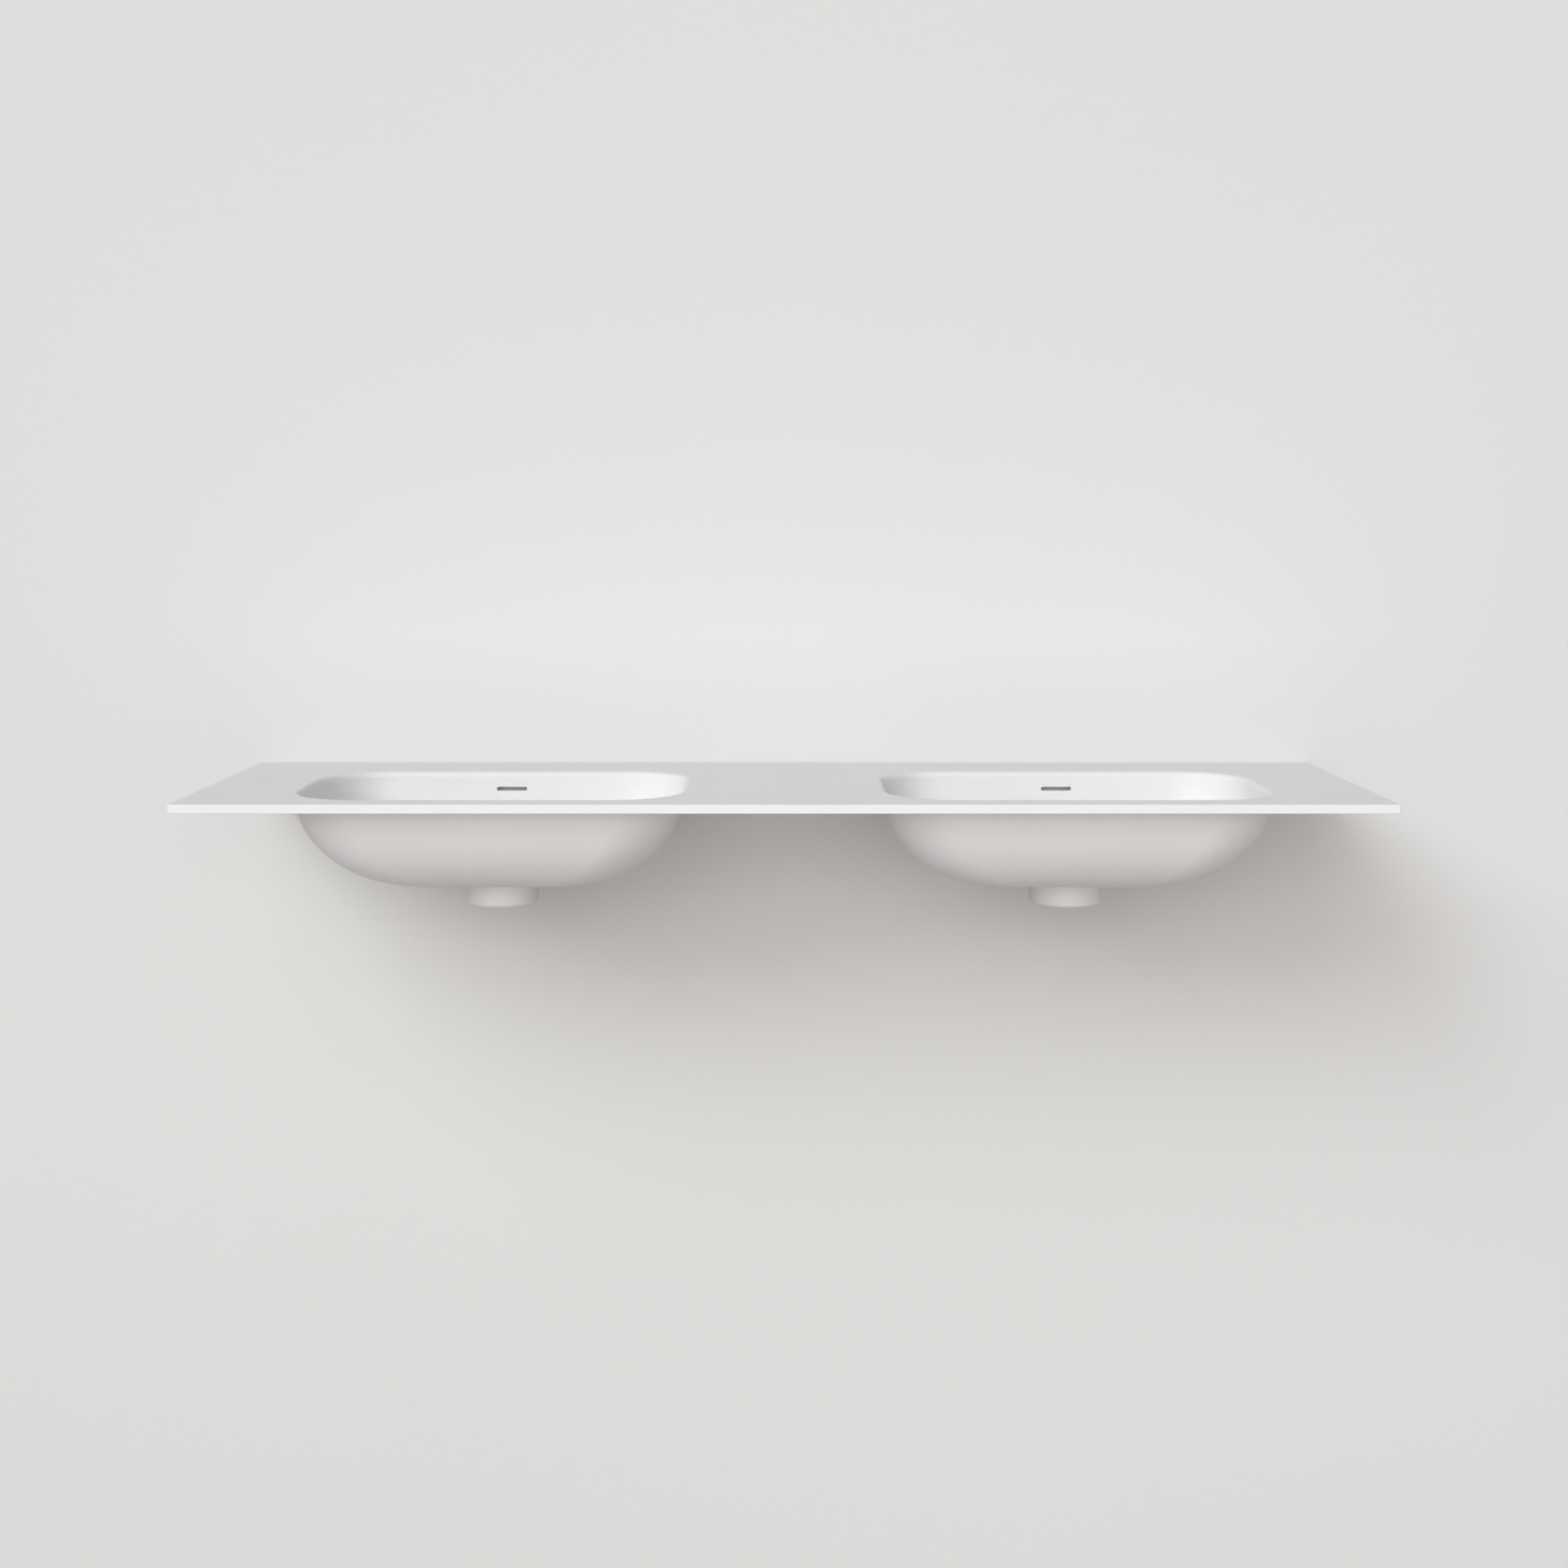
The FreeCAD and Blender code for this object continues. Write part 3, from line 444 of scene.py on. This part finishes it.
def make_rows_tree():
    tree, given, result = new_group(
        "rows_of_screws",
        "GeometryNodeTree",
        {
            "Screw": "NodeSocketGeometry",
            "Columns": "NodeSocketInt",
            "Rows": "NodeSocketInt",
            "Span X": NUMBER,
            "Span Y": NUMBER,
            "Middle": "NodeSocketVector",
            "Material": "NodeSocketMaterial",
        },
        {"Geometry": "NodeSocketGeometry"},
    )
    grid = add_node(
        tree,
        "GeometryNodeMeshGrid",
        {
            "Size X": given.outputs["Span X"],
            "Size Y": given.outputs["Span Y"],
            "Vertices X": given.outputs["Columns"],
            "Vertices Y": given.outputs["Rows"],
        },
    )
    placed = add_node(
        tree,
        "GeometryNodeTransform",
        {"Geometry": grid.outputs["Mesh"], "Translation": given.outputs["Middle"]},
    )
    copies = add_node(
        tree,
        "GeometryNodeInstanceOnPoints",
        {"Points": placed.outputs["Geometry"], "Instance": given.outputs["Screw"]},
    )
    real = add_node(tree, "GeometryNodeRealizeInstances", {"Geometry": copies.outputs["Instances"]})
    dressed = add_node(
        tree,
        "GeometryNodeSetMaterial",
        {"Geometry": real.outputs["Geometry"], "Material": given.outputs["Material"]},
    )
    tree.links.new(dressed.outputs["Geometry"], result.inputs["Geometry"])
    return tree


rows_tree = make_rows_tree()
print("made tree", rows_tree.name)

# %% [markdown]
# ## Running a tree
# A tree hangs on an object as a modifier. Its inputs are known by identifiers, not by their names, and have
# to be set before the object is first evaluated. The result is then kept as a plain mesh, so that it can be
# exported, and the modifier goes.

# %% Run a tree once


def grow(name, tree, inputs, start=None):
    """Run a Geometry Nodes tree once and keep its result as a plain mesh."""
    piece = add_object(name, start or bpy.data.meshes.new(name))
    modifier = piece.modifiers.new(name, "NODES")
    modifier.node_group = tree
    for item in tree.interface.items_tree:
        if item.item_type == "SOCKET" and item.in_out == "INPUT" and item.name in inputs:
            modifier[item.identifier] = inputs[item.name]
    evaluated = piece.evaluated_get(bpy.context.evaluated_depsgraph_get())
    plain = bpy.data.meshes.new_from_object(evaluated)
    piece.modifiers.remove(modifier)
    piece.data = plain
    return piece


print("trees can be run")

# %% [markdown]
# ## Nine screws
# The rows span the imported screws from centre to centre, which is their box less one head. The new screws ride
# on the top and take the place of the plain ones.

# %% Nine screws
SCREW_COLUMNS = 3
SCREW_ROWS = 3
middle = (screws_low + screws_high) / 2
screws = grow(
    "bracket_socket_screws",
    rows_tree,
    {
        "Columns": SCREW_COLUMNS,
        "Rows": SCREW_ROWS,
        "Span X": screws_high.x - screws_low.x - 2 * SCREW_HEAD,
        "Span Y": screws_high.y - screws_low.y - 2 * SCREW_HEAD,
        "Middle": (middle.x, middle.y, 0.0),
        "Material": finishes["steel"],
    },
    start=screw_mesh,
)
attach(screws, "top")
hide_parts("bracket_screws")
print("set", SCREW_COLUMNS * SCREW_ROWS, "screws,", len(screws.data.polygons), "faces")

# %% [markdown]
# ## Clamp nuts
# A large thin brass nut pulls each waste down on its seal, and it shows when you look up into the drain
# boss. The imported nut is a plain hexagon. A forged nut has a cone turned off both faces, which leaves
# curved edges on the flats, so the hexagon's rings are limited by a circle that grows along that cone.

# %% Two clamp nuts
NUT_BORE = 0.02095
NUT_BORE_CHAMFER = 0.0007
NUT_CONE_DEPTH = 0.0018
NUT_FACE_SHARE = 0.96
CONE_STEPS = 5
SIDES = ("left", "right")


def nut_rings(flats, low, high):
    """Closed stack for a hexagon nut between two levels."""
    corner = flats / math.cos(math.pi / HEX_SIDES)
    face = flats * NUT_FACE_SHARE
    cone = []
    for step in range(CONE_STEPS + 1):
        share = step / CONE_STEPS
        cone.append((face + (corner - face) * share, NUT_CONE_DEPTH * share))
    rings = [ring(NUT_BORE, high - NUT_BORE_CHAMFER), ring(NUT_BORE + NUT_BORE_CHAMFER, high)]
    rings += [ring(flats, high - depth, flats=True, limit=limit) for limit, depth in cone]
    rings += [ring(flats, low + depth, flats=True, limit=limit) for limit, depth in reversed(cone)]
    rings += [ring(NUT_BORE + NUT_BORE_CHAMFER, low), ring(NUT_BORE, low + NUT_BORE_CHAMFER)]
    return rings


for side in SIDES:
    low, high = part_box(f"{side}_clamp_nut")
    centre = (low + high) / 2
    mesh = stack_rings(
        f"{side}_clamp_nut_forged",
        nut_rings((high.y - low.y) / 2, low.z, high.z),
        (centre.x, centre.y, 0),
        closed=True,
    )
    mesh.materials.append(finishes["brass"])
    nut = add_object(mesh.name, mesh)
    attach(nut, "top")
    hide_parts(f"{side}_clamp_nut")
    print(nut.name, "is", round((high.y - low.y) * 1000, 1), "mm across flats")

# %% [markdown]
# ## Plug springs
# A short coil under each plug's piston lifts the plug. It is stored as a plain sleeve in the model, and
# here it becomes a real coil: a Geometry Nodes spiral, swept with a round wire.

# %% Tree for a coil
COIL_RESOLUTION = 28
WIRE_POINTS = 10


def make_coil_tree():
    tree, given, result = new_group(
        "coil_spring",
        "GeometryNodeTree",
        {
            "Turns": NUMBER,
            "Coil Radius": NUMBER,
            "Height": NUMBER,
            "Wire Radius": NUMBER,
            "Foot": "NodeSocketVector",
            "Material": "NodeSocketMaterial",
        },
        {"Geometry": "NodeSocketGeometry"},
    )
    spiral = add_node(
        tree,
        "GeometryNodeCurveSpiral",
        {
            "Resolution": COIL_RESOLUTION,
            "Rotations": given.outputs["Turns"],
            "Start Radius": given.outputs["Coil Radius"],
            "End Radius": given.outputs["Coil Radius"],
            "Height": given.outputs["Height"],
        },
    )
    wire = add_node(
        tree,
        "GeometryNodeCurvePrimitiveCircle",
        {"Resolution": WIRE_POINTS, "Radius": given.outputs["Wire Radius"]},
    )
    swept = add_node(
        tree,
        "GeometryNodeCurveToMesh",
        {"Curve": spiral.outputs["Curve"], "Profile Curve": wire.outputs["Curve"], "Fill Caps": True},
    )
    placed = add_node(
        tree,
        "GeometryNodeTransform",
        {"Geometry": swept.outputs["Mesh"], "Translation": given.outputs["Foot"]},
    )
    real = add_node(tree, "GeometryNodeRealizeInstances", {"Geometry": placed.outputs["Geometry"]})
    dressed = add_node(
        tree,
        "GeometryNodeSetMaterial",
        {"Geometry": real.outputs["Geometry"], "Material": given.outputs["Material"]},
    )
    tree.links.new(dressed.outputs["Geometry"], result.inputs["Geometry"])
    return tree


coil_tree = make_coil_tree()
print("made tree", coil_tree.name)

# %% [markdown]
# ## Two springs
# Each coil fills the box of the plain sleeve it replaces. Its radius and height come from that box, and its
# foot sits on the floor of the box.

# %% Two coil springs
WIRE_RADIUS = 0.00036
COIL_TURNS = 4.0

for side in SIDES:
    low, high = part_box(f"{side}_plug_spring")
    centre = (low + high) / 2
    spring = grow(
        f"{side}_plug_coil",
        coil_tree,
        {
            "Turns": COIL_TURNS,
            "Coil Radius": (high.x - low.x) / 2 - WIRE_RADIUS,
            "Height": high.z - low.z - 2 * WIRE_RADIUS,
            "Wire Radius": WIRE_RADIUS,
            "Foot": (centre.x, centre.y, low.z + WIRE_RADIUS),
            "Material": finishes["steel"],
        },
    )
    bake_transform(spring)
    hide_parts(f"{side}_plug_spring")
    print(spring.name, "has", COIL_TURNS, "turns,", len(spring.data.polygons), "faces")

# %% [markdown]
# ## Plain studio
# The top hangs on a wall, so the backdrop is one pale sheet that comes down behind it, curves forward and
# runs on as the floor. In the photo the bowls get darker towards their outlines, which a bright room all
# round would not allow. So the sheet shows its full tone to the camera and in mirrors, but bounces only a
# share of the light. Seen from behind, it must not hide the object, so its back is see-through. It also lets
# bounced light through where it nearly touches the object, which keeps the object's back from going black.

# %% Finish of the backdrop
FLOOR_Z = -1.9
COVE_RADIUS = 0.5
TOUCHING_GAP = 0.003
WALL_LIGHT = (0.797, 0.798, 0.784)
WALL_DARK = (0.785, 0.786, 0.772)
WALL_GRAIN = 0.0033
WALL_CLOUD = 1.4
WALL_ROUGHNESS = 0.9
WALL_SHEEN = 0.1
WALL_BOUNCE = 0.55
FLOOR_BOUNCE = 0.34


def seen_rays(tree, path):
    """One for rays that show a surface, straight or in a mirror or a glass, and zero for bounced light."""
    mirrored = add_math(tree, "MAXIMUM", path.outputs["Is Glossy Ray"], path.outputs["Is Transmission Ray"])
    return add_math(tree, "MAXIMUM", path.outputs["Is Camera Ray"], mirrored)


def make_backdrop_material():
    material = bpy.data.materials.new("pale_backdrop")
    material.use_nodes = True
    tree = material.node_tree
    shader = tree.nodes["Principled BSDF"]
    tones = add_tones(tree, WALL_LIGHT, WALL_DARK, WALL_GRAIN, WALL_CLOUD)
    place = add_node(tree, "ShaderNodeTexCoord").outputs["Object"]
    bounce = add_node(
        tree,
        "ShaderNodeMapRange",
        {
            "Value": add_node(tree, "ShaderNodeSeparateXYZ", {"Vector": place}).outputs["Z"],
            "From Min": FLOOR_Z,
            "From Max": FLOOR_Z + COVE_RADIUS,
            "To Min": FLOOR_BOUNCE,
            "To Max": WALL_BOUNCE,
        },
    )
    path = add_node(tree, "ShaderNodeLightPath")
    share = add_math(tree, "MAXIMUM", seen_rays(tree, path), bounce.outputs["Result"])
    dimmed = add_node(
        tree, "ShaderNodeVectorMath", {"Vector": tones.outputs["Colour"], "Scale": share}, operation="SCALE"
    )
    tree.links.new(dimmed.outputs["Vector"], shader.inputs["Base Color"])
    shader.inputs["Roughness"].default_value = WALL_ROUGHNESS
    shader.inputs["Specular IOR Level"].default_value = WALL_SHEEN
    touching = add_math(tree, "LESS_THAN", path.outputs["Ray Length"], TOUCHING_GAP)
    unseen = add_math(tree, "SUBTRACT", touching, path.outputs["Is Camera Ray"])
    from_behind = add_node(tree, "ShaderNodeNewGeometry").outputs["Backfacing"]
    clear = add_math(tree, "MAXIMUM", from_behind, unseen)
    through = add_node(tree, "ShaderNodeBsdfTransparent")
    mixed = add_node(
        tree, "ShaderNodeMixShader", {0: clear, 1: shader.outputs["BSDF"], 2: through.outputs["BSDF"]}
    )
    tree.links.new(mixed.outputs["Shader"], tree.nodes["Material Output"].inputs["Surface"])
    return material


backdrop_finish = make_backdrop_material()
print("made finish", backdrop_finish.name)

# %% [markdown]
# ## Wall, cove and floor
# The sheet is a profile, drawn from the top of the wall down through a quarter circle and out along the
# floor, and pulled sideways. It stands just clear of the object's back edge.

# %% Backdrop and floor
WALL_Y = 0.0008
WALL_TOP = 4.0
COVE_STEPS = 16
FLOOR_FRONT = -4.0
BACKDROP_HALF = 20.0

profile = [(WALL_Y, WALL_TOP)]
for step in range(COVE_STEPS + 1):
    turn = math.pi / 2 * step / COVE_STEPS
    y = WALL_Y - COVE_RADIUS * (1 - math.cos(turn))
    profile.append((y, FLOOR_Z + COVE_RADIUS * (1 - math.sin(turn))))
profile.append((FLOOR_FRONT, FLOOR_Z))
corners = [(x, y, z) for y, z in profile for x in (-BACKDROP_HALF, BACKDROP_HALF)]
faces = [(2 * i, 2 * i + 2, 2 * i + 3, 2 * i + 1) for i in range(len(profile) - 1)]
sheet_mesh = bpy.data.meshes.new("backdrop")
sheet_mesh.from_pydata(corners, [], faces)
sheet_mesh.shade_smooth()
sheet_mesh.materials.append(backdrop_finish)
backdrop = add_object("backdrop", sheet_mesh)
wall_face, floor_face = sheet_mesh.polygons[0], sheet_mesh.polygons[-1]
print("wall faces the front:", wall_face.normal.y < 0, "floor faces up:", floor_face.normal.z > 0)

# %% [markdown]
# ## Soft light
# The shadow on the wall falls to the lower right and is blurred over half its length, so the main light
# comes from the upper left of the camera and is very wide. The wall is evenly bright from side to side,
# which a panel near the object can't give, so the main light is two suns with wide discs: a high key from
# the left, and a lower key nearer the camera. A warm panel stands in front at the object's own height, so
# that its lower half lights the undersides, as a pale floor would. A small panel lights the back, for views
# from behind.

# %% Lights
COOL = (0.945, 0.985, 1.0)
WARM = (1.0, 0.925, 0.855)
WHITE = (1.0, 1.0, 1.0)
SUN_DISTANCE = 5.0
SUNS = {
    "high_key": {"direction": (-0.97, -1.0, 0.98), "strength": 1.05, "disc": 32},
    "low_key": {"direction": (-0.4, -1.0, 0.6), "strength": 0.73, "disc": 42},
}
PANELS = {
    "fill": {"direction": (0.0, -1.0, 0.0), "distance": 8.0, "power": 238.0, "colour": WARM, "size": 6.4},
    "back": {"direction": (0.3, 1.0, 0.4), "distance": 2.5, "power": 14.0, "colour": WHITE, "size": 2.0},
}


def add_lamp(name, kind, direction, distance, strength, colour):
    """Lamp at a distance from the origin, turned to shine at it."""
    lamp = bpy.data.lights.new(name, kind)
    lamp.energy = strength
    lamp.color = colour
    holder = add_object(name, lamp)
    towards = Vector(direction).normalized()
    holder.location = towards * distance
    holder.rotation_euler = towards.to_track_quat("Z", "Y").to_euler()
    return lamp


for name, sun in SUNS.items():
    lamp = add_lamp(name, "SUN", sun["direction"], SUN_DISTANCE, sun["strength"], COOL)
    lamp.angle = math.radians(sun["disc"])
for name, panel in PANELS.items():
    lamp = add_lamp(name, "AREA", panel["direction"], panel["distance"], panel["power"], panel["colour"])
    lamp.size = panel["size"]
print("added", len(SUNS), "suns and", len(PANELS), "panels")

# %% [markdown]
# ## World
# The world adds an even glow from all around. A low glow keeps the shadows deep, but mirrors would then
# show a dark room, so rays that show the world straight or in a mirror get a pale tone instead.

# %% World
WORLD_GLOW = 0.297
WORLD_COLOUR = (0.97, 0.925, 1.0, 1.0)
SEEN_GLOW = 0.72
SEEN_COLOUR = (1.0, 0.995, 0.98, 1.0)


def make_world():
    world = bpy.data.worlds.new("studio")
    world.use_nodes = True
    tree = world.node_tree
    tree.nodes.clear()
    seen = seen_rays(tree, add_node(tree, "ShaderNodeLightPath"))
    glow = add_node(tree, "ShaderNodeBackground", {"Color": WORLD_COLOUR, "Strength": WORLD_GLOW})
    shown = add_node(tree, "ShaderNodeBackground", {"Color": SEEN_COLOUR, "Strength": SEEN_GLOW})
    mixed = add_node(
        tree, "ShaderNodeMixShader", {0: seen, 1: glow.outputs["Background"], 2: shown.outputs["Background"]}
    )
    add_node(tree, "ShaderNodeOutputWorld", {"Surface": mixed.outputs["Shader"]})
    return world


bpy.context.scene.world = make_world()
bpy.context.scene.view_settings.view_transform = "Standard"
print("world glow", WORLD_GLOW, "shown as", SEEN_GLOW)

# %% [markdown]
# ## Camera
# The sides of the bosses stay upright in the picture, so the camera is level and its frame is slid down
# instead of being tilted. Its height and distance follow from the four edges of the sheet: the two side
# edges run to one point on the horizon.

# %% Camera
PICTURE_SIZE = 1676
FOCAL_PIXELS = 2104.0
HORIZON_ROW = 563.4
SENSOR_WIDTH = 36.0
CAMERA_DISTANCE = 3.011
CAMERA_HEIGHT = 0.3658

lens = bpy.data.cameras.new("camera")
lens.sensor_width = SENSOR_WIDTH
lens.lens = SENSOR_WIDTH * FOCAL_PIXELS / PICTURE_SIZE
lens.shift_y = (HORIZON_ROW - PICTURE_SIZE / 2) / PICTURE_SIZE
camera = add_object("camera", lens)
camera.location = (0, -CAMERA_DISTANCE, CAMERA_HEIGHT)
camera.rotation_euler = (math.pi / 2, 0, 0)
bpy.context.scene.camera = camera
print("lens", round(lens.lens, 2), "mm, shift", round(lens.shift_y, 4))
